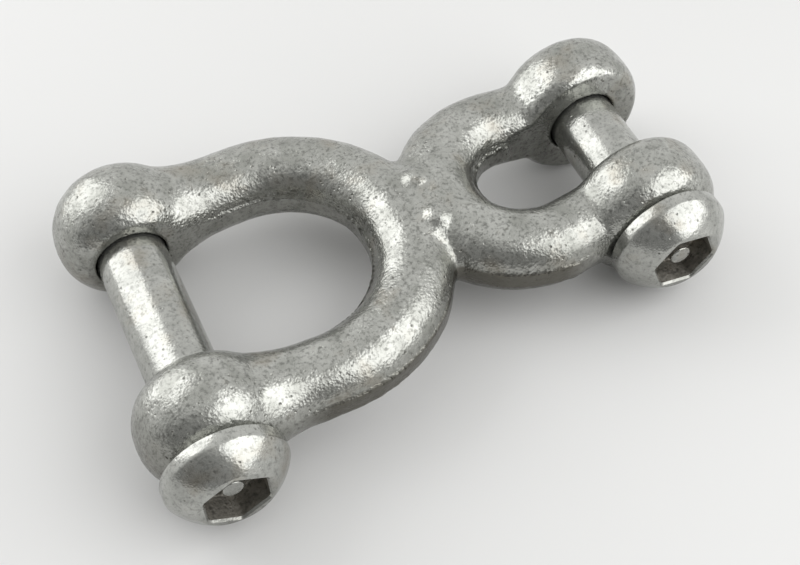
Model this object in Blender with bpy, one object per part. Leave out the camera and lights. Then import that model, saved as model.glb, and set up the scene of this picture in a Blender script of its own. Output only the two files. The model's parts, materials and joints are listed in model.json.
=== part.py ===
"""Forged double shackle: two bows joined back to back at a waist, each closed by a headed security pin.

Metres, +Z up. The shackle lies flat: +X runs along it from the large bow to the small one, the pins run
along Y with their heads towards -Y, and the origin is the centre of the bounding box's bottom face.
"""

import math

import bmesh
import bpy
from mathutils import Matrix, Vector

MM = 0.001

# Driving dimensions
PIN_DIAMETER = 12.0 * MM
PIN_SPACING = 83.0 * MM  # from one pin's axis to the other's
BORE_CLEARANCE = 0.3 * MM  # radial gap between a pin and its ears
SEAT_CLEARANCE = 0.3 * MM  # gap under a pin's head

# Pin heads: a button head with a hexagon socket and a post in the middle
HEAD_RADIUS = 10.25 * MM
HEAD_HEIGHT = 6.8 * MM
DOME_RADIUS = 11.5 * MM
DOME_STEPS = 6
MOUTH_RADIUS = 6.25 * MM  # flat ring around the socket
SOCKET_FLATS = 10.0 * MM
SOCKET_DEPTH = 4.6 * MM
POST_RADIUS = 1.85 * MM
THREAD_RADIUS = 5.8 * MM
THREAD_LEAD_IN = 1.5 * MM  # how far the smooth shank reaches into the far ear
END_RECESS = 1.0 * MM  # the pin's end stops short of the far ear's outer face
END_CHAMFER = 1.0 * MM

# The waist between the two crowns, with two marks raised on its top
WAIST_HALF = 7.0 * MM
WAIST_RADIUS = 9.0 * MM
WAIST_ROUND = 3.5 * MM
PIP_RADIUS = 3.4 * MM
PIP_HEIGHT = 1.1 * MM
PIP_SPACING = 8.3 * MM
PIP_SHIFT_X = 0.6 * MM  # of both pips from the waist's middle towards the small bow
PIP_SHIFT_Y = 0.3 * MM  # of both pips from the mid plane towards the heads

# Room that the cutters leave around what they clear
CHEEK_ROOM = 3 * MM
HEAD_ROOM = 1 * MM
CUT_PAST = 10 * MM  # how far a cutter runs on outside the part
SOCKET_CUT_PAST = 2 * MM
POST_CUT_PAST = 1 * MM

# Surface of the forging
VOXEL = 0.75 * MM
BLEND_STEPS = 16
BODY_TRIANGLE_SHARE = 0.08
TUBE_SIDES = 40
PIP_SIDES = 16
PIP_STEPS = 10
LEG_STEPS = 8
EDGE_STEPS = 8
NECK_SHARE = 0.78  # how far along the leg its swell towards the ear dies out
CROWN_STEPS = 14
ROUND_SIDES = 36
SHARP_ANGLE = math.radians(35)


class Bow:
    """One bow's sizes. Everything is measured from its pin's axis and the shackle's mid plane."""

    def __init__(self, name, toward_waist, gap, ear_thickness, ear_radius, ear_shift, bulb_start, bulb_end,
                 cheek_round, back_round, leg_offset, arc_start, arc_length, arc_half_width, leg_radius,
                 shoulder_radius, crown_radius, socket_turn, post_sunk):
        self.name = name
        self.toward_waist = toward_waist  # +1 or -1 along X
        self.gap = gap  # between the ears' inner cheeks
        self.ear_thickness = ear_thickness  # from cheek to head seat
        self.ear_radius = ear_radius
        self.ear_shift = ear_shift  # of the ear's middle from the pin towards the waist
        self.bulb_start = bulb_start  # the ear's bulb before its cheek is cut flat
        self.bulb_end = bulb_end
        self.cheek_round = cheek_round  # rounding of the bulb's inner edge
        self.back_round = back_round  # rounding of its outer edge
        self.leg_offset = leg_offset  # the leg's centre line at the pin
        self.arc_start = arc_start  # where the straight leg turns into the crown
        self.arc_length = arc_length  # the crown's reach along X
        self.arc_half_width = arc_half_width
        self.leg_radius = leg_radius
        self.shoulder_radius = shoulder_radius
        self.crown_radius = crown_radius
        self.socket_turn = socket_turn  # the hexagon's turn about the pin
        self.post_sunk = post_sunk  # the post's top below the socket's mouth

    @property
    def seat(self):
        return self.gap / 2 + self.ear_thickness

    @property
    def ear_x(self):
        return self.pin_x + self.toward_waist * self.ear_shift

    @property
    def reach(self):
        """How far the ears stand out beyond the pin's axis, away from the waist."""
        return self.ear_radius - self.ear_shift


LARGE = Bow("large", 1, gap=27.5 * MM, ear_thickness=15.5 * MM, ear_radius=11.9 * MM, ear_shift=0.6 * MM,
            bulb_start=12.7 * MM, bulb_end=30.3 * MM, cheek_round=7.4 * MM, back_round=8.6 * MM,
            leg_offset=21.0 * MM, arc_start=21.8 * MM, arc_length=21.9 * MM, arc_half_width=21.7 * MM,
            leg_radius=9.9 * MM, shoulder_radius=6.7 * MM, crown_radius=7.1 * MM,
            socket_turn=math.radians(30), post_sunk=2.0 * MM)
SMALL = Bow("small", -1, gap=15.6 * MM, ear_thickness=12.2 * MM, ear_radius=12.3 * MM, ear_shift=0.0 * MM,
            bulb_start=6.9 * MM, bulb_end=20.5 * MM, cheek_round=4.0 * MM, back_round=5.8 * MM,
            leg_offset=11.6 * MM, arc_start=17.0 * MM, arc_length=15.0 * MM, arc_half_width=14.0 * MM,
            leg_radius=7.3 * MM, shoulder_radius=6.7 * MM, crown_radius=7.6 * MM,
            socket_turn=math.radians(50), post_sunk=1.2 * MM)

# Where the shackle's own axes lie, so that the origin is at the bottom centre of the whole object
LARGE.pin_x = -(PIN_SPACING + SMALL.reach - LARGE.reach) / 2
SMALL.pin_x = LARGE.pin_x + PIN_SPACING
MID_Y = (LARGE.seat + HEAD_HEIGHT - LARGE.bulb_end) / 2
MID_Z = SMALL.ear_radius


def clear_scene():
    for thing in list(bpy.data.objects):
        bpy.data.objects.remove(thing, do_unlink=True)


def metal(name, colour, roughness, metallic):
    material = bpy.data.materials.new(name)
    material.use_nodes = True
    shader = material.node_tree.nodes["Principled BSDF"]
    shader.inputs["Base Color"].default_value = (*colour, 1.0)
    shader.inputs["Roughness"].default_value = roughness
    shader.inputs["Metallic"].default_value = metallic
    return material


def new_object(name, shape, material=None):
    mesh = bpy.data.meshes.new(name)
    shape.to_mesh(mesh)
    shape.free()
    thing = bpy.data.objects.new(name, mesh)
    bpy.context.collection.objects.link(thing)
    if material:
        mesh.materials.append(material)
    return thing


def skin_rings(shape, rings):
    """Closes a row of equal rings into one solid, with flat ends."""
    for low, high in zip(rings, rings[1:]):
        for i in range(len(low)):
            j = (i + 1) % len(low)
            shape.faces.new((low[i], low[j], high[j], high[i]))
    shape.faces.new(list(reversed(rings[0])))
    shape.faces.new(rings[-1])


def add_turned(shape, profile, axis_x, axis_z, sides=ROUND_SIDES):
    """A solid turned about the line along Y at axis_x, axis_z. The profile is (radius, y) with y rising."""
    rings = []
    for radius, y in profile:
        ring = []
        for i in range(sides):
            angle = -2 * math.pi * i / sides
            x = axis_x + radius * math.cos(angle)
            z = axis_z + radius * math.sin(angle)
            ring.append(shape.verts.new((x, y, z)))
        rings.append(ring)
    skin_rings(shape, rings)


def arc_points(centre, radius, start, end, steps):
    """Points on an arc as (radius, y) pairs, ends included."""
    points = []
    for i in range(steps + 1):
        angle = start + (end - start) * i / steps
        points.append((centre[0] + radius * math.cos(angle), centre[1] + radius * math.sin(angle)))
    return points


def half_bow_points(bow):
    """The centre line from the ear to the crown's middle, as (x, offset from mid plane, bar radius)."""
    points = []
    start = bow.pin_x + bow.toward_waist * bow.arc_start
    swell = bow.leg_radius - bow.shoulder_radius
    for i in range(LEG_STEPS):
        share = i / LEG_STEPS
        fade = (1 + math.cos(math.pi * min(1.0, share / NECK_SHARE))) / 2
        x = bow.pin_x + (start - bow.pin_x) * share
        offset = bow.leg_offset + (bow.arc_half_width - bow.leg_offset) * share
        points.append((x, offset, bow.shoulder_radius + swell * fade))
    for i in range(CROWN_STEPS + 1):
        share = i / CROWN_STEPS
        angle = math.pi / 2 * (1 - share)
        x = start + bow.toward_waist * bow.arc_length * math.cos(angle)
        radius = bow.shoulder_radius + (bow.crown_radius - bow.shoulder_radius) * share
        points.append((x, bow.arc_half_width * math.sin(angle), radius))
    return points


def add_bar(shape, bow):
    """The round bar from one ear round the crown to the other, swept along its centre line."""
    half = half_bow_points(bow)
    line = half + [(x, -offset, radius) for x, offset, radius in reversed(half[:-1])]
    rings = []
    for i, (x, offset, radius) in enumerate(line):
        before = line[max(i - 1, 0)]
        after = line[min(i + 1, len(line) - 1)]
        along = Vector((after[0] - before[0], after[1] - before[1], 0)).normalized()
        across = Vector((-along.y, along.x, 0))
        up = Vector((0, 0, 1))
        centre = Vector((x, MID_Y + offset, MID_Z))
        ring = []
        for k in range(TUBE_SIDES):
            angle = 2 * math.pi * k / TUBE_SIDES
            spoke = math.cos(angle) * across + math.sin(angle) * up
            ring.append(shape.verts.new(centre + radius * spoke))
        rings.append(ring)
    skin_rings(shape, rings)
    for side in (1, -1):
        place = Matrix.Translation((bow.pin_x, MID_Y + side * bow.leg_offset, MID_Z))
        bmesh.ops.create_uvsphere(shape, u_segments=TUBE_SIDES, v_segments=TUBE_SIDES // 2,
                                  radius=bow.leg_radius, matrix=place)


def rounded_disc(radius, start, end, start_round, end_round):
    """The outline of a thick disc with rounded edges, as (radius, y)."""
    low = arc_points((radius - start_round, start + start_round), start_round, -math.pi / 2, 0, EDGE_STEPS)
    high = arc_points((radius - end_round, end - end_round), end_round, 0, math.pi / 2, EDGE_STEPS)
    return low + high


def add_ear(shape, bow, side):
    """The bulb around the pin, on the +Y side for side 1 and on the -Y side for side -1."""
    profile = rounded_disc(bow.ear_radius, bow.bulb_start, bow.bulb_end, bow.cheek_round, bow.back_round)
    if side < 0:
        profile = [(radius, -y) for radius, y in reversed(profile)]
    profile = [(radius, MID_Y + y) for radius, y in profile]
    add_turned(shape, profile, bow.ear_x, MID_Z)


def add_waist(shape):
    """The boss that fills the valley between the two crowns, standing on the Z axis."""
    disc = bmesh.new()
    add_turned(disc, rounded_disc(WAIST_RADIUS, -WAIST_HALF, WAIST_HALF, WAIST_ROUND, WAIST_ROUND), 0, 0)
    disc.transform(Matrix.Translation((waist_x(), MID_Y, MID_Z)) @ Matrix.Rotation(math.pi / 2, 4, "X"))
    mesh = bpy.data.meshes.new("waist")
    disc.to_mesh(mesh)
    disc.free()
    shape.from_mesh(mesh)
    bpy.data.meshes.remove(mesh)


def waist_x():
    """The middle of the waist, between the two crowns' inner edges."""
    large_edge = LARGE.pin_x + LARGE.arc_start + LARGE.arc_length - LARGE.crown_radius
    small_edge = SMALL.pin_x - SMALL.arc_start - SMALL.arc_length + SMALL.crown_radius
    return (large_edge + small_edge) / 2


def as_tool(thing):
    """Marks an object as one that only shapes others."""
    thing.hide_render = True
    thing.display_type = "WIRE"
    return thing


def cutter(name, profile, axis_x):
    shape = bmesh.new()
    add_turned(shape, profile, axis_x, MID_Z)
    return as_tool(new_object(name, shape))


def cut(target, tool, operation="DIFFERENCE"):
    step = target.modifiers.new(tool.name, "BOOLEAN")
    step.operation = operation
    step.solver = "EXACT"
    step.object = tool


def body_cutters(bow):
    """The flats between the ears, the seat under the head, and the holes through both ears."""
    reach = bow.ear_radius + CHEEK_ROOM
    head_room = HEAD_RADIUS + HEAD_ROOM
    bore = PIN_DIAMETER / 2 + BORE_CLEARANCE
    past = bow.seat + CUT_PAST
    cheeks = [(reach, MID_Y - bow.gap / 2), (reach, MID_Y + bow.gap / 2)]
    seat = [(head_room, MID_Y - past), (head_room, MID_Y - bow.seat)]
    hole = [(bore, MID_Y - past), (bore, MID_Y + past)]
    return [cutter(f"{bow.name}_cheeks", cheeks, bow.pin_x),
            cutter(f"{bow.name}_seat", seat, bow.pin_x),
            cutter(f"{bow.name}_bores", hole, bow.pin_x)]


def pips():
    """Two low domes side by side on top of the waist."""
    shape = bmesh.new()
    top = MID_Z + WAIST_HALF
    for side in (1, -1):
        x = waist_x() + PIP_SHIFT_X
        y = MID_Y + side * PIP_SPACING / 2 - PIP_SHIFT_Y
        place = Matrix.Translation((x, y, top - PIP_RADIUS + PIP_HEIGHT))
        bmesh.ops.create_uvsphere(shape, u_segments=PIP_SIDES, v_segments=PIP_STEPS, radius=PIP_RADIUS,
                                  matrix=place)
    return as_tool(new_object("waist_pips", shape))


def shackle_body(material):
    """Both bars and all four ears, blended into one forging, then machined."""
    shape = bmesh.new()
    add_waist(shape)
    for bow in (LARGE, SMALL):
        add_bar(shape, bow)
        for side in (1, -1):
            add_ear(shape, bow, side)
    thing = new_object("shackle_body", shape, material)
    blend = thing.modifiers.new("blend", "REMESH")
    blend.mode = "VOXEL"
    blend.voxel_size = VOXEL
    blend.use_smooth_shade = True
    ease = thing.modifiers.new("ease", "SMOOTH")
    ease.factor = 0.5
    ease.iterations = BLEND_STEPS
    thin = thing.modifiers.new("thin", "DECIMATE")
    thin.ratio = BODY_TRIANGLE_SHARE
    cut(thing, pips(), "UNION")
    for bow in (LARGE, SMALL):
        for tool in body_cutters(bow):
            cut(thing, tool)
    return thing


def dome_profile(bow):
    """The head's outline from its flat face over the dome to the rim's underside, as (radius, y)."""
    under = MID_Y - bow.seat - SEAT_CLEARANCE
    face = MID_Y - bow.seat - HEAD_HEIGHT
    inner = math.asin(MOUTH_RADIUS / DOME_RADIUS)
    outer = math.asin(HEAD_RADIUS / DOME_RADIUS)
    centre = (0, face + DOME_RADIUS * math.cos(inner))
    dome = arc_points(centre, DOME_RADIUS, inner - math.pi / 2, outer - math.pi / 2, DOME_STEPS)
    return dome + [(HEAD_RADIUS, under)]


def pin(bow, material):
    """Head, smooth shank and threaded end in one solid, with the socket sunk around its post."""
    shank = PIN_DIAMETER / 2
    under = MID_Y - bow.seat - SEAT_CLEARANCE
    thread_start = MID_Y + bow.gap / 2 + THREAD_LEAD_IN
    end = MID_Y + bow.seat - END_RECESS
    profile = dome_profile(bow)
    profile += [(shank, under), (shank, thread_start), (THREAD_RADIUS, thread_start),
                (THREAD_RADIUS, end - END_CHAMFER), (THREAD_RADIUS - END_CHAMFER, end)]
    shape = bmesh.new()
    add_turned(shape, profile, bow.pin_x, MID_Z)
    thing = new_object(f"pin_{bow.name}_bow", shape, material)
    cut(thing, socket_cutter(bow))
    return thing


def socket_cutter(bow):
    """A hexagonal prism from outside the head to the socket's floor, with a round hole for the post."""
    face = MID_Y - bow.seat - HEAD_HEIGHT
    floor = face + SOCKET_DEPTH
    outside = face - SOCKET_CUT_PAST
    corner = SOCKET_FLATS / 2 / math.cos(math.pi / 6)
    shape = bmesh.new()
    rings = []
    for y in (outside, floor):
        ring = []
        for i in range(6):
            angle = bow.socket_turn - math.pi / 3 * i
            x = bow.pin_x + corner * math.cos(angle)
            z = MID_Z + corner * math.sin(angle)
            ring.append(shape.verts.new((x, y, z)))
        rings.append(ring)
    skin_rings(shape, rings)
    prism = as_tool(new_object(f"{bow.name}_socket", shape))
    post = [(POST_RADIUS, face + bow.post_sunk), (POST_RADIUS, floor + POST_CUT_PAST)]
    cut(prism, cutter(f"{bow.name}_post", post, bow.pin_x))
    return prism


def move_origin(thing, place):
    """Puts the object's origin on its joint's axis without moving its shape."""
    thing.data.transform(Matrix.Translation(-Vector(place)))
    thing.location = place


def main():
    clear_scene()
    zinc = metal("galvanised_forging", (0.50, 0.50, 0.48), 0.50, 0.85)
    plated = metal("galvanised_pin", (0.56, 0.56, 0.54), 0.40, 0.90)
    shackle_body(zinc)
    for bow in (LARGE, SMALL):
        headed_pin = pin(bow, plated)
        headed_pin.data.shade_smooth()
        headed_pin.data.set_sharp_from_angle(angle=SHARP_ANGLE)
        move_origin(headed_pin, (bow.pin_x, MID_Y, MID_Z))


main()
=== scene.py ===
"""The finished look of the double shackle: a galvanised forging and the headed pin across each bow."""

import json
import math

import bmesh
import bpy
from mathutils import Matrix, Vector
from mathutils import noise as perlin


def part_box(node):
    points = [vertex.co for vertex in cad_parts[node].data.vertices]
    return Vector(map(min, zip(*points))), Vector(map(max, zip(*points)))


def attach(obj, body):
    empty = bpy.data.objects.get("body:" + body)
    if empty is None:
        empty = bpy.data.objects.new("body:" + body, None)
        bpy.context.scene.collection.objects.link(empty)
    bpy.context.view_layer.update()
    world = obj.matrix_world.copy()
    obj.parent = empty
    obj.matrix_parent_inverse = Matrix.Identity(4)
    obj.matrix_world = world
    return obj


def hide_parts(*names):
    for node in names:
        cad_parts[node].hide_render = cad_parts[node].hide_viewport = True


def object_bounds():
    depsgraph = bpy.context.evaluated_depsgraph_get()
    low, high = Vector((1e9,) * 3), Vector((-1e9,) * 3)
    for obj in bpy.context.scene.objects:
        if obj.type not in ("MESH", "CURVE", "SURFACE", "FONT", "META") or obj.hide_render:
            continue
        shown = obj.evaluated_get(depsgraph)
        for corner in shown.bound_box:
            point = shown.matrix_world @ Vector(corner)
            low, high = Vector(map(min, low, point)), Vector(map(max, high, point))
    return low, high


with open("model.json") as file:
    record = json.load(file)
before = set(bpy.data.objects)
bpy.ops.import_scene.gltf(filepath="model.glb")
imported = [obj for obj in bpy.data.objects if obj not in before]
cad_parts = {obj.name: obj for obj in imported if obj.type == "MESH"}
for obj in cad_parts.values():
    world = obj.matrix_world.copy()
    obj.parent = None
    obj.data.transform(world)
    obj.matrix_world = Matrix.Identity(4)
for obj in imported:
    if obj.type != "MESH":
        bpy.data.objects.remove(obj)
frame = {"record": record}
cad_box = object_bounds()

MM = 0.001

# Sizes that are not read from the frame
BORE_CLEARANCE = 0.15 * MM  # before the skin is roughened inwards
SEAT_CLEARANCE = 0.3 * MM
PIN_RADIUS = 6.0 * MM
HEAD_RADIUS = 10.25 * MM
HEAD_HEIGHT = 6.8 * MM
DOME_RADIUS = 11.5 * MM
RIM_ROUND = 1.3 * MM
MOUTH_RADIUS = 6.25 * MM  # where the dome ends in a flat ring
MOUTH_CHAMFER = 0.35 * MM
SOCKET_FLATS = 10.0 * MM
SOCKET_DEPTH = 4.6 * MM
SOCKET_CORNER_ROUND = 0.8 * MM
POST_RADIUS = 1.85 * MM
POST_ROUND = 0.35 * MM
THREAD_ROOT = 5.25 * MM
THREAD_CREST = 5.8 * MM
THREAD_PITCH = 1.75 * MM
THREAD_LEAD_IN = 1.5 * MM
THREAD_STEPS = 14  # to a turn
THREAD_START_GAP = 0.1 * MM
END_RECESS = 1.0 * MM
END_CHAMFER = 1.0 * MM
SMALL_ROUND = 0.3 * MM  # of the socket's floor, the head's back edge and the corner under the head
SMALL_ROUND_MID = 0.1 * MM  # how far its middle ring stands from each side
EDGE_ROOM = 3.0 * MM  # the cheek cutter past the ear
HEAD_ROOM = 1.0 * MM  # the seat cutter past the head
CUT_PAST = 10.0 * MM  # the cutters past the seat
POST_TOP_SHARES = (0.4, 0.75)  # of the post's radius, for the rings on its flat top
POST_ROUND_STEPS = 4
FLOOR_SHARES = (0.3, 0.6, 0.85)  # of the way from the post to the socket's wall
WALL_DEPTHS = (3.0 * MM, 1.5 * MM, MOUTH_CHAMFER)
DOME_STEPS = 24
RIM_STEPS = 10
BACK_EDGE_STEPS = 4
SHANK_STEPS = 12
PIN_SHARP_ANGLE = math.radians(38)

WAIST_HALF = 7.0 * MM
WAIST_RADIUS = 9.0 * MM
WAIST_ROUND = 3.5 * MM
PIP_RADIUS = 3.4 * MM
PIP_HEIGHT = 1.1 * MM
PIP_SPACING = 8.3 * MM
PIP_SHIFT_X = 0.6 * MM  # towards the small bow
PIP_SHIFT_Y = 0.3 * MM  # towards the heads

PARTING_HALF = 2.1 * MM  # half the height of the land where the flash was trimmed off
PARTING_EDGE = 0.5 * MM
PARTING_HEIGHT = 0.22 * MM
PARTING_GRAIN = 2.5 * MM  # of the unevenness along the land
PARTING_EDGE_WANDER = 0.35  # of the land's upper and lower edges, in edge widths
PARTING_HEIGHT_SHARE = 0.8  # the land's usual height, as a share of PARTING_HEIGHT
PARTING_HEIGHT_WANDER = 0.5
PARTING_STEEPEST = 0.5  # the largest upright part of a normal that the land still covers
PARTING_EAR_ROOM = 12.0 * MM  # from a pin's axis to where the land starts to fade in
PARTING_EAR_FADE = 4.0 * MM
PARTING_CROTCH_ROOM = 3.0 * MM
PARTING_CROTCH_FADE = 5.0 * MM
BAR_RADIUS = 7.0 * MM
CROTCH_Y = 13.0 * MM  # from the mid plane to where the two bows' outsides meet

SWELL_SIZE = 4 * MM
SWELL_DEPTH = 0.16 * MM
DIMPLE_SIZE = 1.1 * MM
DIMPLE_DEPTH = 0.07 * MM

BLANK_VOXEL = 0.5 * MM
BLANK_EASE = 36
SKIN_VOXEL = 0.38 * MM
SKIN_EASE = 5
TUBE_SIDES = 48
LEG_STEPS = 12
EDGE_STEPS = 10
NECK_SHARE = 0.78
CROWN_STEPS = 20
PIP_SIDES = 24
PIP_STEPS = 16
CUTTER_SIDES = 96
PIN_SIDES = 144


def mount_y(name):
    for mount in frame["record"]["mounts"]:
        if mount["name"] == name:
            return mount["pos_m"][1]
    raise ValueError(name)


class Bow:
    """One bow: where its pin lies in the frame, and the shape around it."""

    def __init__(self, name, toward_waist, ear_thickness, ear_radius, ear_shift, bulb_start, bulb_end,
                 cheek_round, back_round, leg_offset, arc_start, arc_length, arc_half_width, leg_radius,
                 shoulder_radius, crown_radius, socket_turn, post_sunk):
        low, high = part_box(f"pin_{name}_bow")
        near, far = mount_y(f"{name}_near_cheek"), mount_y(f"{name}_far_cheek")
        self.name = name
        self.toward_waist = toward_waist
        self.pin_x = (low.x + high.x) / 2
        self.mid_y = (near + far) / 2
        self.mid_z = (low.z + high.z) / 2
        self.gap = far - near
        self.ear_thickness = ear_thickness
        self.ear_radius = ear_radius
        self.ear_x = self.pin_x + toward_waist * ear_shift
        self.bulb_start = bulb_start  # the bulb's reach from the mid plane, before the cheeks are cut
        self.bulb_end = bulb_end
        self.cheek_round = cheek_round
        self.back_round = back_round
        self.leg_offset = leg_offset
        self.arc_start = arc_start
        self.arc_length = arc_length
        self.arc_half_width = arc_half_width
        self.leg_radius = leg_radius
        self.shoulder_radius = shoulder_radius
        self.crown_radius = crown_radius
        self.socket_turn = socket_turn
        self.post_sunk = post_sunk  # below the socket's mouth

    @property
    def seat(self):
        return self.gap / 2 + self.ear_thickness


LARGE = Bow("large", 1, ear_thickness=15.5 * MM, ear_radius=11.9 * MM, ear_shift=0.6 * MM,
            bulb_start=12.7 * MM, bulb_end=30.3 * MM, cheek_round=7.4 * MM, back_round=8.6 * MM,
            leg_offset=21.0 * MM, arc_start=21.8 * MM, arc_length=21.9 * MM, arc_half_width=21.7 * MM,
            leg_radius=9.9 * MM, shoulder_radius=6.7 * MM, crown_radius=7.1 * MM,
            socket_turn=math.radians(30), post_sunk=2.0 * MM)
SMALL = Bow("small", -1, ear_thickness=12.2 * MM, ear_radius=12.3 * MM, ear_shift=0.0 * MM,
            bulb_start=6.9 * MM, bulb_end=20.5 * MM, cheek_round=4.0 * MM, back_round=5.8 * MM,
            leg_offset=11.6 * MM, arc_start=17.0 * MM, arc_length=15.0 * MM, arc_half_width=14.0 * MM,
            leg_radius=7.3 * MM, shoulder_radius=6.7 * MM, crown_radius=7.6 * MM,
            socket_turn=math.radians(50), post_sunk=1.2 * MM)
MID_Y = LARGE.mid_y
MID_Z = LARGE.mid_z
CROWN_GAP_X = (LARGE.pin_x + LARGE.arc_start + LARGE.arc_length - LARGE.crown_radius
               + SMALL.pin_x - SMALL.arc_start - SMALL.arc_length + SMALL.crown_radius) / 2


# Shapes

def new_piece(name, shape):
    mesh = bpy.data.meshes.new(name)
    shape.to_mesh(mesh)
    shape.free()
    piece = bpy.data.objects.new(name, mesh)
    bpy.context.collection.objects.link(piece)
    return piece


def settle(piece):
    """Applies the piece's modifiers."""
    shaped = piece.evaluated_get(bpy.context.evaluated_depsgraph_get())
    mesh = bpy.data.meshes.new_from_object(shaped)
    piece.modifiers.clear()
    piece.data = mesh


def skin_rings(shape, rings):
    """Closes a row of equal rings into one solid."""
    for low, high in zip(rings, rings[1:]):
        for i in range(len(low)):
            j = (i + 1) % len(low)
            shape.faces.new((low[i], low[j], high[j], high[i]))
    shape.faces.new(list(reversed(rings[0])))
    shape.faces.new(rings[-1])


def add_turned(shape, profile, axis_x, axis_z, sides):
    """A solid turned about the line along Y at axis_x, axis_z. Its profile is (radius, y), y rising."""
    rings = []
    for radius, y in profile:
        ring = []
        for i in range(sides):
            angle = -2 * math.pi * i / sides
            x = axis_x + radius * math.cos(angle)
            z = axis_z + radius * math.sin(angle)
            ring.append(shape.verts.new((x, y, z)))
        rings.append(ring)
    skin_rings(shape, rings)


def arc_points(centre, radius, start, end, steps):
    points = []
    for i in range(steps + 1):
        angle = start + (end - start) * i / steps
        points.append((centre[0] + radius * math.cos(angle), centre[1] + radius * math.sin(angle)))
    return points


def half_bow_points(bow):
    """The bar's centre line from ear to mid crown, as (x, offset from the mid plane, bar radius)."""
    points = []
    start = bow.pin_x + bow.toward_waist * bow.arc_start
    swell = bow.leg_radius - bow.shoulder_radius
    for i in range(LEG_STEPS):
        share = i / LEG_STEPS
        fade = (1 + math.cos(math.pi * min(1.0, share / NECK_SHARE))) / 2
        x = bow.pin_x + (start - bow.pin_x) * share
        offset = bow.leg_offset + (bow.arc_half_width - bow.leg_offset) * share
        points.append((x, offset, bow.shoulder_radius + swell * fade))
    for i in range(CROWN_STEPS + 1):
        share = i / CROWN_STEPS
        angle = math.pi / 2 * (1 - share)
        x = start + bow.toward_waist * bow.arc_length * math.cos(angle)
        radius = bow.shoulder_radius + (bow.crown_radius - bow.shoulder_radius) * share
        points.append((x, bow.arc_half_width * math.sin(angle), radius))
    return points


def add_bar(shape, bow):
    """The round bar from one ear round the crown to the other."""
    half = half_bow_points(bow)
    line = half + [(x, -offset, radius) for x, offset, radius in reversed(half[:-1])]
    rings = []
    for i, (x, offset, radius) in enumerate(line):
        before = line[max(i - 1, 0)]
        after = line[min(i + 1, len(line) - 1)]
        along = Vector((after[0] - before[0], after[1] - before[1], 0)).normalized()
        across = Vector((-along.y, along.x, 0))
        up = Vector((0, 0, 1))
        centre = Vector((x, MID_Y + offset, MID_Z))
        ring = []
        for k in range(TUBE_SIDES):
            angle = 2 * math.pi * k / TUBE_SIDES
            spoke = math.cos(angle) * across + math.sin(angle) * up
            ring.append(shape.verts.new(centre + radius * spoke))
        rings.append(ring)
    skin_rings(shape, rings)
    for side in (1, -1):
        place = Matrix.Translation((bow.pin_x, MID_Y + side * bow.leg_offset, MID_Z))
        bmesh.ops.create_uvsphere(shape, u_segments=TUBE_SIDES, v_segments=TUBE_SIDES // 2,
                                  radius=bow.leg_radius, matrix=place)


def rounded_disc(radius, start, end, start_round, end_round):
    """The outline of a thick disc with rounded edges, as (radius, y)."""
    first = arc_points((radius - start_round, start + start_round), start_round,
                       -math.pi / 2, 0, EDGE_STEPS)
    last = arc_points((radius - end_round, end - end_round), end_round, 0, math.pi / 2, EDGE_STEPS)
    return first + last


def add_ear(shape, bow, side):
    """The bulb around the pin."""
    profile = rounded_disc(bow.ear_radius, bow.bulb_start, bow.bulb_end, bow.cheek_round, bow.back_round)
    if side < 0:
        profile = [(radius, -y) for radius, y in reversed(profile)]
    profile = [(radius, MID_Y + y) for radius, y in profile]
    add_turned(shape, profile, bow.ear_x, MID_Z, TUBE_SIDES)


def add_waist(shape):
    """The boss that fills the valley between the two crowns, standing on the Z axis."""
    disc = bmesh.new()
    profile = rounded_disc(WAIST_RADIUS, -WAIST_HALF, WAIST_HALF, WAIST_ROUND, WAIST_ROUND)
    add_turned(disc, profile, 0, 0, TUBE_SIDES)
    disc.transform(Matrix.Translation((CROWN_GAP_X, MID_Y, MID_Z)) @ Matrix.Rotation(math.pi / 2, 4, "X"))
    mesh = bpy.data.meshes.new("waist")
    disc.to_mesh(mesh)
    disc.free()
    shape.from_mesh(mesh)
    bpy.data.meshes.remove(mesh)


def remesh(piece, voxel, ease):
    skin = piece.modifiers.new("skin", "REMESH")
    skin.mode = "VOXEL"
    skin.voxel_size = voxel
    skin.use_smooth_shade = True
    smooth = piece.modifiers.new("ease", "SMOOTH")
    smooth.factor = 0.5
    smooth.iterations = ease


def cut(piece, profile, axis_x):
    """Takes a turned shape out of the piece."""
    shape = bmesh.new()
    add_turned(shape, profile, axis_x, MID_Z, CUTTER_SIDES)
    tool = new_piece("cutter", shape)
    step = piece.modifiers.new("cut", "BOOLEAN")
    step.operation = "DIFFERENCE"
    step.solver = "EXACT"
    step.object = tool
    settle(piece)
    bpy.data.objects.remove(tool, do_unlink=True)


def machine_ears(piece, bow):
    """The flats between the ears, the seat under the head, and the holes through both ears."""
    reach = bow.ear_radius + EDGE_ROOM
    bore = PIN_RADIUS + BORE_CLEARANCE
    past = bow.seat + CUT_PAST
    head_room = HEAD_RADIUS + HEAD_ROOM
    cut(piece, [(reach, MID_Y - bow.gap / 2), (reach, MID_Y + bow.gap / 2)], bow.pin_x)
    cut(piece, [(head_room, MID_Y - past), (head_room, MID_Y - bow.seat)], bow.pin_x)
    cut(piece, [(bore, MID_Y - past), (bore, MID_Y + past)], bow.pin_x)


def add_pips(piece):
    """Two low marks side by side on top of the waist."""
    shape = bmesh.new()
    shape.from_mesh(piece.data)
    top = MID_Z + WAIST_HALF
    for side in (1, -1):
        y = MID_Y + side * PIP_SPACING / 2 - PIP_SHIFT_Y
        place = Matrix.Translation((CROWN_GAP_X + PIP_SHIFT_X, y, top - PIP_RADIUS + PIP_HEIGHT))
        bmesh.ops.create_uvsphere(shape, u_segments=PIP_SIDES, v_segments=PIP_STEPS, radius=PIP_RADIUS,
                                  matrix=place)
    shape.to_mesh(piece.data)
    shape.free()


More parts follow.
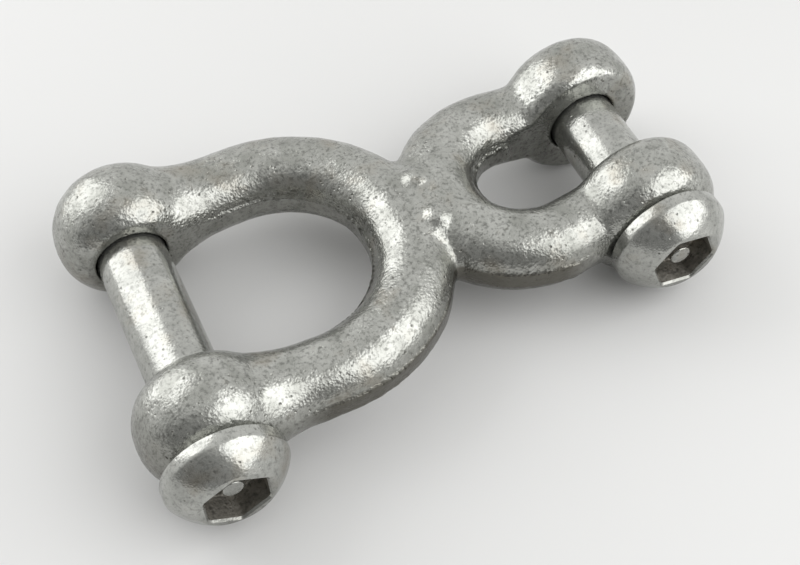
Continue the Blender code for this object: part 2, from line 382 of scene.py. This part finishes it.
def rough_skin(piece, name, size, depth):
    """Moves the surface in and out with a soft noise of that grain size."""
    texture = bpy.data.textures.new(name, "CLOUDS")
    texture.noise_scale = size
    texture.noise_depth = 2
    step = piece.modifiers.new(name, "DISPLACE")
    step.texture = texture
    step.texture_coords = "LOCAL"
    step.strength = depth
    step.mid_level = 0.9  # mostly inwards, so the piece keeps within its size


def raise_parting_land(piece):
    """The upright land round both bars, at half their height, where the dies' flash was trimmed off."""
    for vertex in piece.data.vertices:
        place = vertex.co
        height = place.z - MID_Z
        from_ears = min(place.x - LARGE.pin_x, SMALL.pin_x - place.x) - PARTING_EAR_ROOM
        crotch_offset = abs(place.y - MID_Y) - CROTCH_Y
        from_crotch = math.hypot(place.x - CROWN_GAP_X, crotch_offset) - PARTING_CROTCH_ROOM
        uneven = perlin.noise(place / PARTING_GRAIN)
        edge = (PARTING_HALF - abs(height)) / PARTING_EDGE + PARTING_EDGE_WANDER * uneven
        if min(edge, from_ears, from_crotch) <= 0 or abs(vertex.normal.z) > PARTING_STEEPEST:
            continue
        fade = min(1.0, edge) * min(1.0, from_ears / PARTING_EAR_FADE, from_crotch / PARTING_CROTCH_FADE)
        land = PARTING_HEIGHT * (PARTING_HEIGHT_SHARE + PARTING_HEIGHT_WANDER * uneven)
        proud = land + height ** 2 / (2 * BAR_RADIUS)
        vertex.co = place + vertex.normal * (proud * fade)


def forging():
    shape = bmesh.new()
    add_waist(shape)
    for bow in (LARGE, SMALL):
        add_bar(shape, bow)
        for side in (1, -1):
            add_ear(shape, bow, side)
    piece = new_piece("forged_body", shape)
    remesh(piece, BLANK_VOXEL, BLANK_EASE)
    settle(piece)
    for bow in (LARGE, SMALL):
        machine_ears(piece, bow)
    add_pips(piece)
    remesh(piece, SKIN_VOXEL, SKIN_EASE)
    settle(piece)
    raise_parting_land(piece)
    rough_skin(piece, "swells", SWELL_SIZE, SWELL_DEPTH)
    rough_skin(piece, "dimples", DIMPLE_SIZE, DIMPLE_DEPTH)
    settle(piece)
    return piece


def hexagon_radius(angle, flats, rounding):
    """The distance from the centre to the side of a hexagon with rounded corners."""
    from_corner = abs((angle + math.pi / 6) % (math.pi / 3) - math.pi / 6)
    round_centre = (flats / 2 - rounding) / math.cos(math.pi / 6)
    round_ends = math.atan2(rounding / 2, round_centre + rounding * math.cos(math.pi / 6))
    if from_corner > round_ends:
        return flats / 2 / math.cos(math.pi / 6 - from_corner)
    aside = round_centre * math.sin(from_corner)
    return round_centre * math.cos(from_corner) + math.sqrt(rounding ** 2 - aside ** 2)


def rounded_corner(before, corner, after, radius, steps):
    """Points that round off a corner between two straight runs of a profile."""
    corner, before, after = Vector(corner), Vector(before), Vector(after)
    back, on = (before - corner).normalized(), (after - corner).normalized()
    half = back.angle(on) / 2
    centre = corner + (back + on).normalized() * (radius / math.sin(half))
    first = (corner + back * (radius / math.tan(half)) - centre).normalized()
    last = (corner + on * (radius / math.tan(half)) - centre).normalized()
    points = []
    for i in range(steps + 1):
        spoke = first.slerp(last, i / steps)
        points.append((centre.x + radius * spoke.x, centre.y + radius * spoke.y))
    return points


def circle(radius, y):
    """One ring of a pin: the same radius and height all round."""
    return [(radius, y)] * PIN_SIDES


def socket_rings(bow, face):
    """From the post's top, over the floor and up the hexagon's walls to the chamfer's outer edge."""
    floor = face + SOCKET_DEPTH
    post_top = face + bow.post_sunk
    angles = [-2 * math.pi * i / PIN_SIDES - bow.socket_turn for i in range(PIN_SIDES)]
    walls = [hexagon_radius(angle, SOCKET_FLATS, SOCKET_CORNER_ROUND) for angle in angles]
    rings = [circle(share * POST_RADIUS, post_top) for share in POST_TOP_SHARES]
    for radius, y in arc_points((POST_RADIUS - POST_ROUND, post_top + POST_ROUND), POST_ROUND,
                                -math.pi / 2, 0, POST_ROUND_STEPS):
        rings.append(circle(radius, y))
    rings.append(circle(POST_RADIUS, floor - SMALL_ROUND))
    rings.append(circle(POST_RADIUS + SMALL_ROUND_MID, floor - SMALL_ROUND_MID))
    rings.append(circle(POST_RADIUS + SMALL_ROUND, floor))
    for share in FLOOR_SHARES:
        rings.append([(POST_RADIUS + (wall - POST_RADIUS) * share, floor) for wall in walls])
    rings.append([(wall - SMALL_ROUND, floor) for wall in walls])
    rings.append([(wall - SMALL_ROUND_MID, floor - SMALL_ROUND_MID) for wall in walls])
    rings.append([(wall, floor - SMALL_ROUND) for wall in walls])
    for depth in WALL_DEPTHS:
        rings.append([(wall, face + depth) for wall in walls])
    rings.append([(wall + MOUTH_CHAMFER, face) for wall in walls])
    return rings


def head_rings(face, under):
    """From the mouth's flat ring over the dome and down the rim to the head's underside."""
    inner = math.asin(MOUTH_RADIUS / DOME_RADIUS)
    outer = math.asin(HEAD_RADIUS / DOME_RADIUS)
    centre = (0, face + DOME_RADIUS * math.cos(inner))
    dome = arc_points(centre, DOME_RADIUS, inner - math.pi / 2, outer - math.pi / 2, DOME_STEPS)
    corner = dome[-1]
    slope = (math.cos(outer), math.sin(outer))
    before = (corner[0] - slope[0] * MM, corner[1] - slope[1] * MM)
    rim = rounded_corner(before, corner, (corner[0], under), RIM_ROUND, RIM_STEPS)
    dome = [point for point in dome if point[1] < rim[0][1]]
    edge = rounded_corner((HEAD_RADIUS, face), (HEAD_RADIUS, under), (0, under), SMALL_ROUND,
                          BACK_EDGE_STEPS)
    return [circle(radius, y) for radius, y in dome + rim + edge]


def thread_rings(start, end):
    """A single right-hand thread with rounded crests, fading in and out over half a turn."""
    count = int((end - start) / THREAD_PITCH * THREAD_STEPS)
    rings = []
    for step in range(count + 1):
        y = start + (end - start) * step / count
        depth = min(1.0, (y - start) / THREAD_PITCH * 2, (end - y) / THREAD_PITCH * 2)
        ring = []
        for i in range(PIN_SIDES):
            phase = (y - start) / THREAD_PITCH - i / PIN_SIDES
            height = 0.5 + 0.5 * math.cos(2 * math.pi * phase)
            ring.append((THREAD_CREST - (THREAD_CREST - THREAD_ROOT) * depth * height, y))
        rings.append(ring)
    return rings


def pin(bow):
    """One solid pin: socketed head, smooth shank and threaded end."""
    face = MID_Y - bow.seat - HEAD_HEIGHT
    under = MID_Y - bow.seat - SEAT_CLEARANCE
    thread_start = MID_Y + bow.gap / 2 + THREAD_LEAD_IN
    end = MID_Y + bow.seat - END_RECESS
    rings = socket_rings(bow, face) + head_rings(face, under)
    shank_start = under + SMALL_ROUND
    shank_end = thread_start - SMALL_ROUND
    rings.append(circle(PIN_RADIUS + SMALL_ROUND, under))
    for step in range(SHANK_STEPS + 1):
        rings.append(circle(PIN_RADIUS, shank_start + (shank_end - shank_start) * step / SHANK_STEPS))
    rings.append(circle(THREAD_CREST, thread_start))
    rings += thread_rings(thread_start + THREAD_START_GAP, end - END_CHAMFER)
    rings.append(circle(THREAD_CREST - END_CHAMFER, end))
    rings.append(circle(THREAD_CREST / 2, end))
    post_top_strips = len(POST_TOP_SHARES) + POST_ROUND_STEPS  # on the post's top
    dirt_and_shade_end = len(socket_rings(bow, face)) - 2  # the strip where the mouth's chamfer starts
    shape = bmesh.new()
    skinned = []
    for ring in rings:
        points = []
        for i, (radius, y) in enumerate(ring):
            angle = -2 * math.pi * i / PIN_SIDES
            x = bow.pin_x + radius * math.cos(angle)
            z = MID_Z + radius * math.sin(angle)
            points.append(shape.verts.new((x, y, z)))
        skinned.append(points)
    skin_rings(shape, skinned)
    shape.faces.ensure_lookup_table()
    # The socket's walls and floor get the brown zinc with painted shade; the post's top keeps the pins'
    # zinc.
    for index in range(post_top_strips * PIN_SIDES, dirt_and_shade_end * PIN_SIDES):
        shape.faces[index].material_index = 1
    piece = new_piece(f"headed_pin_{bow.name}", shape)
    piece.data.shade_smooth()
    piece.data.set_sharp_from_angle(angle=PIN_SHARP_ANGLE)
    return piece


# Materials

MOTTLE_GRAIN = 3.5 * MM
SPECKLE_GRAIN = 0.7 * MM
STAIN_GRAIN = 7 * MM
PIT_SPACING = 1.2 * MM
PIT_SIZE = 0.30 * MM
PIT_PATCH_GRAIN = 1.6 * MM  # of the patches that have pits at all
STAIN_COLOUR = (0.20, 0.17, 0.12, 1)
PIT_COLOUR = (0.06, 0.055, 0.045, 1)
# Painted shade: this dark colour goes on the undersides, the near land and beside the large head,
# standing in for shade and dark reflections.
PAINTED_SHADE_COLOUR = (0.10, 0.094, 0.078, 1)


def node(tree, kind, place, **values):
    made = tree.nodes.new(kind)
    made.location = place
    for name, value in values.items():
        setattr(made, name, value)
    return made


def noise(tree, coords, grain, detail=3.0, roughness=0.55):
    """A noise whose blobs are about that many metres across."""
    made = node(tree, "ShaderNodeTexNoise", (-900, 0))
    made.inputs["Scale"].default_value = 1 / grain
    made.inputs["Detail"].default_value = detail
    made.inputs["Roughness"].default_value = roughness
    tree.links.new(coords, made.inputs["Vector"])
    return made.outputs["Fac"]


def pits(tree, coords, spacing, size):
    """Small round spots, 1 in their middles, that far apart."""
    cells = node(tree, "ShaderNodeTexVoronoi", (-900, -300))
    cells.inputs["Scale"].default_value = 1 / spacing
    tree.links.new(coords, cells.inputs["Vector"])
    return ramp(tree, cells.outputs["Distance"], [(0.0, 1.0), (size / spacing, 0.0)])


def ramp(tree, value, stops):
    made = node(tree, "ShaderNodeValToRGB", (-650, 0))
    elements = made.color_ramp.elements
    while len(elements) > 1:
        elements.remove(elements[-1])
    for i, (position, colour) in enumerate(stops):
        element = elements[0] if i == 0 else elements.new(position)
        element.position = position
        shade = (colour, colour, colour) if isinstance(colour, float) else colour
        element.color = (*shade, 1.0)
    tree.links.new(value, made.inputs["Fac"])
    return made.outputs["Color"]


def combine(tree, operation, first, second):
    made = node(tree, "ShaderNodeMath", (-400, 0), operation=operation)
    for socket, value in zip(made.inputs, (first, second)):
        if isinstance(value, float):
            socket.default_value = value
        else:
            tree.links.new(value, socket)
    return made.outputs["Value"]


def mix_colour(tree, share, base, top):
    made = node(tree, "ShaderNodeMix", (-300, 0), data_type="RGBA")
    for name, value in (("Factor", share), ("A", base), ("B", top)):
        socket = made.inputs[name]
        if isinstance(value, (float, tuple)):
            socket.default_value = value
        else:
            tree.links.new(value, socket)
    return made.outputs["Result"]


def bump(tree, height, distance, normal=None):
    made = node(tree, "ShaderNodeBump", (-200, -400))
    made.inputs["Distance"].default_value = distance
    tree.links.new(height, made.inputs["Height"])
    if normal:
        tree.links.new(normal, made.inputs["Normal"])
    return made.outputs["Normal"]


def fade(tree, coords, axis, start, full):
    """0 as far as start, and rising to 1 at full, along one axis."""
    split = node(tree, "ShaderNodeSeparateXYZ", (-1000, -500))
    tree.links.new(coords, split.inputs["Vector"])
    rise = node(tree, "ShaderNodeMapRange", (-800, -500))
    rise.inputs["From Min"].default_value = start
    rise.inputs["From Max"].default_value = full
    tree.links.new(split.outputs[axis], rise.inputs["Value"])
    return rise.outputs["Result"]


def galvanised(name, light, dark, grain, grain_depth, pit_depth, roughness, specks, painted_shades=()):
    """Hot-dip zinc: mottled grey, fine grain, dark pits, a few brown stains, and painted shade in places.

    Each entry of painted_shades is how dark the painted shade gets, and the fades (axis, start, full)
    that bound it.
    """
    material = bpy.data.materials.new(name)
    material.use_nodes = True
    tree = material.node_tree
    shader = tree.nodes["Principled BSDF"]
    coords = node(tree, "ShaderNodeTexCoord", (-1200, 0)).outputs["Object"]
    mottle = noise(tree, coords, MOTTLE_GRAIN, detail=4.0)
    speckle = noise(tree, coords, SPECKLE_GRAIN, detail=4.0, roughness=0.75)
    stain = noise(tree, coords, STAIN_GRAIN)
    rare = ramp(tree, noise(tree, coords, PIT_PATCH_GRAIN, detail=2.0), [(0.47, 0.0), (0.57, 1.0)])
    pitting = combine(tree, "MULTIPLY", pits(tree, coords, PIT_SPACING, PIT_SIZE), rare)

    colour = mix_colour(tree, ramp(tree, mottle, [(0.35, 0.0), (0.65, 1.0)]), dark, light)
    shade = (*[channel * 0.5 for channel in dark[:3]], 1)
    colour = mix_colour(tree, ramp(tree, speckle, [(0.36, specks), (0.51, 0.0)]), colour, shade)
    colour = mix_colour(tree, ramp(tree, stain, [(0.55, 0.0), (0.72, 0.5)]), colour, STAIN_COLOUR)
    colour = mix_colour(tree, combine(tree, "MULTIPLY", pitting, 0.85), colour, PIT_COLOUR)
    # Painted shade: each entry darkens the colour over the place its fades bound.
    for share, fades in painted_shades:
        for axis, start, full in fades:
            share = combine(tree, "MULTIPLY", fade(tree, coords, axis, start, full), share)
        colour = mix_colour(tree, share, colour, PAINTED_SHADE_COLOUR)
    tree.links.new(colour, shader.inputs["Base Color"])

    shine = ramp(tree, mottle, [(0.3, roughness + 0.08), (0.7, roughness - 0.04)])
    tree.links.new(shine, shader.inputs["Roughness"])
    shader.inputs["Metallic"].default_value = 0.85

    grains = node(tree, "ShaderNodeTexVoronoi", (-900, -200))
    grains.inputs["Scale"].default_value = 1 / grain
    tree.links.new(coords, grains.inputs["Vector"])
    crumbs = noise(tree, coords, 1.5 * grain, roughness=0.6)
    broken = combine(tree, "ADD", grains.outputs["Distance"], crumbs)
    fine = bump(tree, broken, grain_depth)
    sunk = bump(tree, combine(tree, "SUBTRACT", 1.0, pitting), pit_depth, fine)
    tree.links.new(sunk, shader.inputs["Normal"])
    return material


def zincs():
    """The forging's zinc, the pins' smoother zinc, and the dirty zinc with painted shade in their
    sockets.
    """
    # Painted shade: the forging darkens from the bars' tops down to the mid plane.
    shade_painted_downwards = [("Z", MID_Z + BAR_RADIUS, MID_Z)]
    # Painted shade and dark reflection: the near face of the trimmed land is painted dark.
    near_land_painted_shade = [("Z", MID_Z + PARTING_HALF, MID_Z + PARTING_HALF - PARTING_EDGE),
                 ("Y", MID_Y - 2 * MM, MID_Y - 8 * MM),
                 ("X", LARGE.pin_x + 13 * MM, LARGE.pin_x + 19 * MM),
                 ("X", SMALL.pin_x - 13 * MM, SMALL.pin_x - 19 * MM)]
    # Painted shade: the low outer side of the near large ear, beside the head, is painted dark.
    near_large_ear_painted_shade = [("Z", MID_Z + 9 * MM, MID_Z + 5 * MM),
                      ("Y", MID_Y - 16 * MM, MID_Y - 21 * MM),
                      ("X", LARGE.pin_x + 3 * MM, LARGE.pin_x - 4 * MM)]
    # Painted shade: the pins darken towards their undersides.
    pin_undersides_painted_shade = [("Z", MID_Z + 4 * MM, MID_Z - 8 * MM)]
    zinc = galvanised("forging_zinc", light=(0.48, 0.485, 0.457, 1), dark=(0.33, 0.335, 0.31, 1),
                      grain=0.45 * MM, grain_depth=0.04 * MM, pit_depth=0.12 * MM, roughness=0.22,
                      specks=0.85, painted_shades=((0.35, shade_painted_downwards), (0.85, near_land_painted_shade), (0.35, near_large_ear_painted_shade)))
    pin_zinc = galvanised("pin_zinc", light=(0.49, 0.495, 0.467, 1), dark=(0.37, 0.375, 0.352, 1),
                          grain=0.4 * MM, grain_depth=0.015 * MM, pit_depth=0.06 * MM, roughness=0.17,
                          specks=0.65, painted_shades=((0.45, pin_undersides_painted_shade),))
    # Brown dirt and painted shade: the sockets' insides are browner and darker than the zinc outside.
    dirt_and_shade = galvanised("socket_dirt_and_shade", light=(0.40, 0.38, 0.34, 1), dark=(0.20, 0.19, 0.165, 1),
                       grain=0.5 * MM, grain_depth=0.06 * MM, pit_depth=0.10 * MM, roughness=0.55,
                       specks=0.85)
    return zinc, pin_zinc, dirt_and_shade


def plain(name, colour, roughness):
    material = bpy.data.materials.new(name)
    material.use_nodes = True
    shader = material.node_tree.nodes["Principled BSDF"]
    shader.inputs["Base Color"].default_value = colour
    shader.inputs["Roughness"].default_value = roughness
    return material


# Studio

PALE_FLOOR = (0.68, 0.68, 0.675, 1)
ROOM_COLOUR = (1.0, 1.0, 0.99, 1)
ROOM_STRENGTH = 0.92
ROOM_DARK_STRENGTH = 0.27  # low down in front on the left


def direction(azimuth, elevation):
    """Towards a compass point round the shackle: 0 is -Y and 90 is +X."""
    a, e = math.radians(azimuth), math.radians(elevation)
    return Vector((math.sin(a) * math.cos(e), -math.cos(a) * math.cos(e), math.sin(e)))


def soft_light(name, azimuth, elevation, distance, width, height, radiance):
    data = bpy.data.lights.new(name, "AREA")
    data.shape = "RECTANGLE"
    data.size = width
    data.size_y = height
    data.energy = radiance * math.pi * width * height
    lamp = bpy.data.objects.new(name, data)
    bpy.context.collection.objects.link(lamp)
    toward = direction(azimuth, elevation)
    lamp.location = Vector((0, 0, MID_Z)) + toward * distance
    lamp.rotation_mode = "QUATERNION"
    lamp.rotation_quaternion = (-toward).to_track_quat("-Z", "Y")


def floor():
    shape = bmesh.new()
    bmesh.ops.create_grid(shape, x_segments=1, y_segments=1, size=3.0)
    piece = new_piece("floor", shape)
    piece.location.z = cad_box[0].z
    piece.data.materials.append(plain("pale_floor", PALE_FLOOR, 0.9))


def sky():
    """A pale room, darker low down in front on the left."""
    world = bpy.data.worlds.new("studio")
    world.use_nodes = True
    tree = world.node_tree
    coords = node(tree, "ShaderNodeTexCoord", (-900, 0)).outputs["Generated"]
    toward = node(tree, "ShaderNodeVectorMath", (-700, 0), operation="DOT_PRODUCT")
    toward.inputs[1].default_value = direction(-35, 12)
    tree.links.new(coords, toward.inputs[0])
    share = node(tree, "ShaderNodeMapRange", (-500, 0), interpolation_type="SMOOTHSTEP")
    share.inputs["From Min"].default_value = 0.30
    share.inputs["From Max"].default_value = 0.90
    share.inputs["To Min"].default_value = ROOM_STRENGTH
    share.inputs["To Max"].default_value = ROOM_DARK_STRENGTH
    tree.links.new(toward.outputs["Value"], share.inputs["Value"])
    background = tree.nodes["Background"]
    background.inputs["Color"].default_value = ROOM_COLOUR
    tree.links.new(share.outputs["Result"], background.inputs["Strength"])
    bpy.context.scene.world = world


def camera():
    azimuth, elevation, distance = -22.83, 53.96, 230.36 * MM
    target = Vector((-3.47 * MM, -7.215 * MM, MID_Z))
    roll = math.radians(-2.47)
    back = direction(azimuth, elevation)
    right = Vector((0, 0, 1)).cross(back).normalized()
    up = back.cross(right)
    turned_right = right * math.cos(roll) + up * math.sin(roll)
    turned_up = up * math.cos(roll) - right * math.sin(roll)
    data = bpy.data.cameras.new("camera")
    data.sensor_width = 36  # millimetres, as the lens is
    data.lens = 62.66
    data.clip_start = 0.01
    data.clip_end = 20
    eye = bpy.data.objects.new("camera", data)
    bpy.context.collection.objects.link(eye)
    turn = Matrix((turned_right, turned_up, back)).transposed()
    eye.matrix_world = Matrix.Translation(target + back * distance) @ turn.to_4x4()
    bpy.context.scene.camera = eye


def main():
    zinc, pin_zinc, dirt_and_shade = zincs()
    body = forging()
    body.data.materials.clear()
    body.data.materials.append(zinc)
    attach(body, "forging")
    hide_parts("shackle_body")
    for bow in (LARGE, SMALL):
        piece = pin(bow)
        piece.data.materials.append(pin_zinc)
        piece.data.materials.append(dirt_and_shade)
        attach(piece, f"{bow.name}_pin")
        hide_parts(f"pin_{bow.name}_bow")
    floor()
    sky()
    soft_light("right_softbox", 45, 38, 0.40, 0.44, 0.42, 1.85)
    soft_light("left_softbox", -142, 30, 0.34, 0.26, 0.34, 1.8)
    camera()
    bpy.context.scene.view_settings.view_transform = "Standard"


main()
